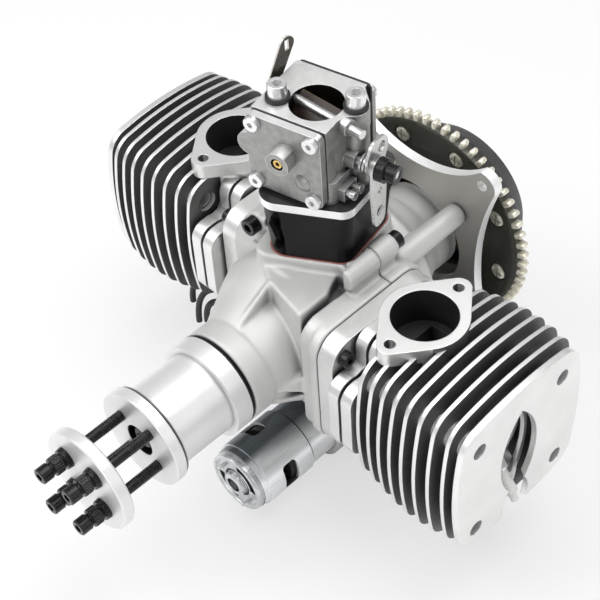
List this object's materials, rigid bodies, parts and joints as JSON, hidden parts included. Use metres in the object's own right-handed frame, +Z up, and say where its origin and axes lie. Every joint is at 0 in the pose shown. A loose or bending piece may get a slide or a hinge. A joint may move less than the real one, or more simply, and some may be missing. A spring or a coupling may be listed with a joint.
{
  "type": "flat twin aircraft engine",
  "caption": "Horizontally opposed two-stroke aircraft engine with finned cylinders, top carburettor, electric starter and rear generator.",
  "frame": {"origin": "centre of the rear mounting face, on the crankshaft axis", "axes": "+X to the right cylinder seen from behind the propeller hub, +Y along the crankshaft away from the propeller, +Z up to the carburettor"},
  "size_m": [0.3002, 0.3193, 0.2527],
  "materials": {
    "cast_light": "fine cast, matte",
    "cylinder_alloy": "machined edges on cast",
    "black_steel": "black oxide, satin",
    "bearing_steel": "ground",
    "black_rubber": "matte",
    "red_gasket": "pressed fibre",
    "plated_steel": "zinc plated",
    "white_ceramic": "glazed",
    "piston_alloy": "turned",
    "ring_iron": "ground",
    "anodised_silver": "turned, satin anodised",
    "bracket_grey": "brushed face, bright edges",
    "pale_zinc": "pale zinc",
    "dark_olive": "satin",
    "satin_black": "satin",
    "core_iron": "matte",
    "copper_wire": "enamelled wire",
    "motor_steel": "bright zinc",
    "bright_steel": "bright zinc",
    "brass": "machined",
    "dark_plastic": "gloss",
    "carb_cast": "satin die cast",
    "lead_brown": "cable sheath"
  },
  "bodies": {
    "crank": {"crankshaft": "bearing_steel", "propeller_hub": "anodised_silver", "propeller_washer": "anodised_silver", "propeller_bolts": "black_steel", "ring_gear": "pale_zinc", "gear_plate": "dark_olive", "rotor_fasteners": "pale_zinc", "generator_rotor": "satin_black"},
    "pinion": {"starter_pinion": "bearing_steel"},
    "armature": {"starter_armature": "core_iron"},
    "piston_right_set": {"piston_right": "piston_alloy", "piston_rings_right": "ring_iron", "piston_pins_right": "bearing_steel", "connecting_rod_right": "bearing_steel"},
    "piston_left_set": {"piston_left": "piston_alloy", "piston_rings_left": "ring_iron", "piston_pins_left": "bearing_steel", "connecting_rod_left": "bearing_steel"},
    "throttle": {"throttle_shaft": "plated_steel", "throttle_plate": "brass", "throttle_lever": "plated_steel", "throttle_collar": "black_steel"},
    "choke": {"choke_shaft": "plated_steel", "choke_plate": "brass", "choke_lever": "black_steel"},
    "engine": {"crankcase_front": "cast_light", "crankcase_rear": "cast_light", "crankcase_screws": "black_steel", "main_bearings": "bearing_steel", "front_seal": "black_rubber", "cylinder_right": "cylinder_alloy", "cylinder_left": "cylinder_alloy", "cylinder_screws": "black_steel", "case_gaskets": "red_gasket", "spark_plug_shells": "plated_steel", "spark_plug_insulators": "white_ceramic", "rear_bracket": "bracket_grey", "generator_stator": "core_iron", "stator_coils": "copper_wire", "starter_can": "motor_steel", "starter_flux_ring": "motor_steel", "starter_end_cap": "bright_steel", "starter_terminals": "brass", "starter_housing": "cast_light", "reed_cage": "dark_plastic", "insulator_block": "dark_plastic", "insulator_plate": "bright_steel", "carburettor_body": "carb_cast", "carburettor_gaskets": "black_rubber", "pump_cover": "carb_cast", "metering_cover": "carb_cast", "cover_screws": "bright_steel", "fuel_nipple_and_needles": "brass", "carburettor_screws": "bright_steel", "carburettor_washers": "black_rubber", "throttle_spring": "plated_steel", "lead_grommet": "black_rubber", "generator_lead_1": "lead_brown", "generator_lead_2": "lead_brown", "generator_lead_3": "lead_brown"}
  },
  "joints": [
    {"name": "crank_spin", "type": "hinge", "parent": "engine", "child": "crank", "pos_m": [0, 0, 0], "axis": [0, 1, 0], "continuous": true},
    {"name": "pinion_spin", "type": "hinge", "parent": "engine", "child": "pinion", "pos_m": [0.012, 0, -0.07383], "axis": [0, 1, 0], "continuous": true},
    {"name": "armature_spin", "type": "hinge", "parent": "engine", "child": "armature", "pos_m": [0.012, 0, -0.07383], "axis": [0, 1, 0], "continuous": true},
    {"name": "piston_right_slide", "type": "slide", "parent": "engine", "child": "piston_right_set", "axis": [1, 0, 0], "range_m": [-0.04, 0]},
    {"name": "piston_left_slide", "type": "slide", "parent": "engine", "child": "piston_left_set", "axis": [-1, 0, 0], "range_m": [-0.04, 0]},
    {"name": "throttle_turn", "type": "hinge", "parent": "engine", "child": "throttle", "pos_m": [0.0013, -0.078, 0.1105], "axis": [0.9781, 0.2079, 0], "range_deg": [-75, 0]},
    {"name": "choke_turn", "type": "hinge", "parent": "engine", "child": "choke", "pos_m": [0.0013, -0.078, 0.1337], "axis": [0.9997, 0.0262, 0], "range_deg": [-20, 45]}
  ],
  "couplings": [
    {"joint": "pinion_spin", "follows": "crank_spin", "ratio": -7.5},
    {"joint": "piston_left_slide", "follows": "piston_right_slide", "ratio": 1}
  ]
}
